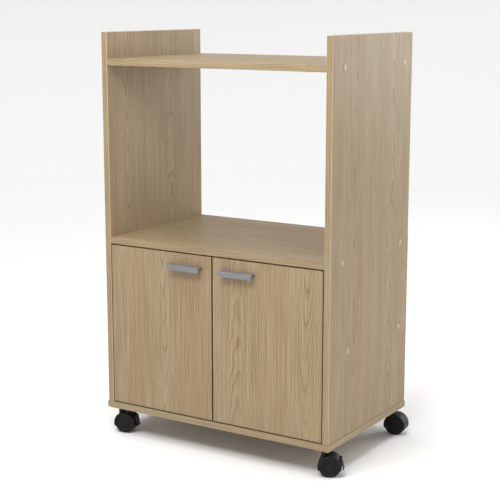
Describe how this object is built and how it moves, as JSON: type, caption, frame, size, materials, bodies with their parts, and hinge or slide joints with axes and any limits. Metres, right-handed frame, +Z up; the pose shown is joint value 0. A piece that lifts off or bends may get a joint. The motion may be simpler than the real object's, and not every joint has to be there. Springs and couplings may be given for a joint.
{
  "type": "microwave cart",
  "caption": "Rolling kitchen cart: open microwave bay under a top shelf, two-door cupboard below, on hooded twin-wheel casters.",
  "frame": {"origin": "on the floor, under the middle of the box that holds the whole cart", "axes": "+Z up; +X to the right when facing the doors; the doors face -Y"},
  "size_m": [0.6242, 0.398, 0.952],
  "materials": {
    "board": "pale maple-look laminate, satin",
    "hardboard": "thin hardboard",
    "cap": "pale plastic",
    "handle": "satin",
    "steel": "zinc plated",
    "nylon": "moulded",
    "black_nylon": "moulded, fine texture",
    "wheel": "moulded, smooth"
  },
  "bodies": {
    "carcass": {"left_side_panel": "board", "right_side_panel": "board", "base_panel": "board", "middle_shelf": "board", "upper_shelf": "board", "inner_shelf": "board", "back_panel": "hardboard", "left_upper_front_screw_cap": "cap", "left_upper_back_screw_cap": "cap", "left_middle_front_screw_cap": "cap", "left_middle_back_screw_cap": "cap", "left_inner_front_screw_cap": "cap", "left_inner_back_screw_cap": "cap", "right_upper_front_screw_cap": "cap", "right_upper_back_screw_cap": "cap", "right_middle_front_screw_cap": "cap", "right_middle_back_screw_cap": "cap", "right_inner_front_screw_cap": "cap", "right_inner_back_screw_cap": "cap", "left_upper_pivot_bush": "nylon", "left_lower_pivot_bush": "nylon", "right_upper_pivot_bush": "nylon", "right_lower_pivot_bush": "nylon", "magnetic_catch": "nylon", "front_left_caster_plate": "steel", "front_right_caster_plate": "steel", "back_left_caster_plate": "steel", "back_right_caster_plate": "steel"},
    "left_door": {"left_door": "board", "left_handle": "handle", "left_upper_pivot_pin": "steel", "left_lower_pivot_pin": "steel", "left_strike_plate": "steel"},
    "right_door": {"right_door": "board", "right_handle": "handle", "right_upper_pivot_pin": "steel", "right_lower_pivot_pin": "steel", "right_strike_plate": "steel"},
    "front_left_swivel": {"front_left_caster_hood": "black_nylon", "front_left_axle": "steel"},
    "front_left_left_wheel": {"front_left_left_wheel": "wheel"},
    "front_left_right_wheel": {"front_left_right_wheel": "wheel"},
    "front_left_brake": {"front_left_brake_lever": "black_nylon"},
    "front_right_swivel": {"front_right_caster_hood": "black_nylon", "front_right_axle": "steel"},
    "front_right_left_wheel": {"front_right_left_wheel": "wheel"},
    "front_right_right_wheel": {"front_right_right_wheel": "wheel"},
    "front_right_brake": {"front_right_brake_lever": "black_nylon"},
    "back_left_swivel": {"back_left_caster_hood": "black_nylon", "back_left_axle": "steel"},
    "back_left_left_wheel": {"back_left_left_wheel": "wheel"},
    "back_left_right_wheel": {"back_left_right_wheel": "wheel"},
    "back_right_swivel": {"back_right_caster_hood": "black_nylon", "back_right_axle": "steel"},
    "back_right_left_wheel": {"back_right_left_wheel": "wheel"},
    "back_right_right_wheel": {"back_right_right_wheel": "wheel"}
  },
  "joints": [
    {"name": "left_door_hinge", "type": "hinge", "parent": "carcass", "child": "left_door", "pos_m": [-0.27952, -0.1745, 0.271], "axis": [0, 0, -1], "range_deg": [0, 110]},
    {"name": "right_door_hinge", "type": "hinge", "parent": "carcass", "child": "right_door", "pos_m": [0.25936, -0.1745, 0.271], "axis": [0, 0, 1], "range_deg": [0, 110]},
    {"name": "front_left_caster_swivel", "type": "hinge", "parent": "carcass", "child": "front_left_swivel", "pos_m": [-0.28908, -0.159, 0.063], "axis": [0, 0, 1], "continuous": true},
    {"name": "front_left_left_wheel_spin", "type": "hinge", "parent": "front_left_swivel", "child": "front_left_left_wheel", "pos_m": [-0.27743, -0.1561, 0.024], "axis": [-0.2419, 0.9703, 0], "continuous": true},
    {"name": "front_left_right_wheel_spin", "type": "hinge", "parent": "front_left_swivel", "child": "front_left_right_wheel", "pos_m": [-0.27743, -0.1561, 0.024], "axis": [-0.2419, 0.9703, 0], "continuous": true},
    {"name": "front_left_brake_lever_hinge", "type": "hinge", "parent": "front_left_swivel", "child": "front_left_brake", "pos_m": [-0.25367, -0.15017, 0.0399], "axis": [-0.2419, 0.9703, 0], "range_deg": [0, 5]},
    {"name": "front_right_caster_swivel", "type": "hinge", "parent": "carcass", "child": "front_right_swivel", "pos_m": [0.26892, -0.159, 0.063], "axis": [0, 0, 1], "continuous": true},
    {"name": "front_right_left_wheel_spin", "type": "hinge", "parent": "front_right_swivel", "child": "front_right_left_wheel", "pos_m": [0.27988, -0.15412, 0.024], "axis": [-0.4067, 0.9135, 0], "continuous": true},
    {"name": "front_right_right_wheel_spin", "type": "hinge", "parent": "front_right_swivel", "child": "front_right_right_wheel", "pos_m": [0.27988, -0.15412, 0.024], "axis": [-0.4067, 0.9135, 0], "continuous": true},
    {"name": "front_right_brake_lever_hinge", "type": "hinge", "parent": "front_right_swivel", "child": "front_right_brake", "pos_m": [0.30226, -0.14416, 0.0399], "axis": [-0.4067, 0.9135, 0], "range_deg": [0, 5]},
    {"name": "back_left_caster_swivel", "type": "hinge", "parent": "carcass", "child": "back_left_swivel", "pos_m": [-0.28908, 0.173, 0.063], "axis": [0, 0, 1], "continuous": true},
    {"name": "back_left_left_wheel_spin", "type": "hinge", "parent": "back_left_swivel", "child": "back_left_left_wheel", "pos_m": [-0.27712, 0.17405, 0.024], "axis": [-0.0872, 0.9962, 0], "continuous": true},
    {"name": "back_left_right_wheel_spin", "type": "hinge", "parent": "back_left_swivel", "child": "back_left_right_wheel", "pos_m": [-0.27712, 0.17405, 0.024], "axis": [-0.0872, 0.9962, 0], "continuous": true},
    {"name": "back_right_caster_swivel", "type": "hinge", "parent": "carcass", "child": "back_right_swivel", "pos_m": [0.26892, 0.173, 0.063], "axis": [0, 0, 1], "continuous": true},
    {"name": "back_right_left_wheel_spin", "type": "hinge", "parent": "back_right_swivel", "child": "back_right_left_wheel", "pos_m": [0.28081, 0.17467, 0.024], "axis": [-0.1392, 0.9903, 0], "continuous": true},
    {"name": "back_right_right_wheel_spin", "type": "hinge", "parent": "back_right_swivel", "child": "back_right_right_wheel", "pos_m": [0.28081, 0.17467, 0.024], "axis": [-0.1392, 0.9903, 0], "continuous": true}
  ]
}
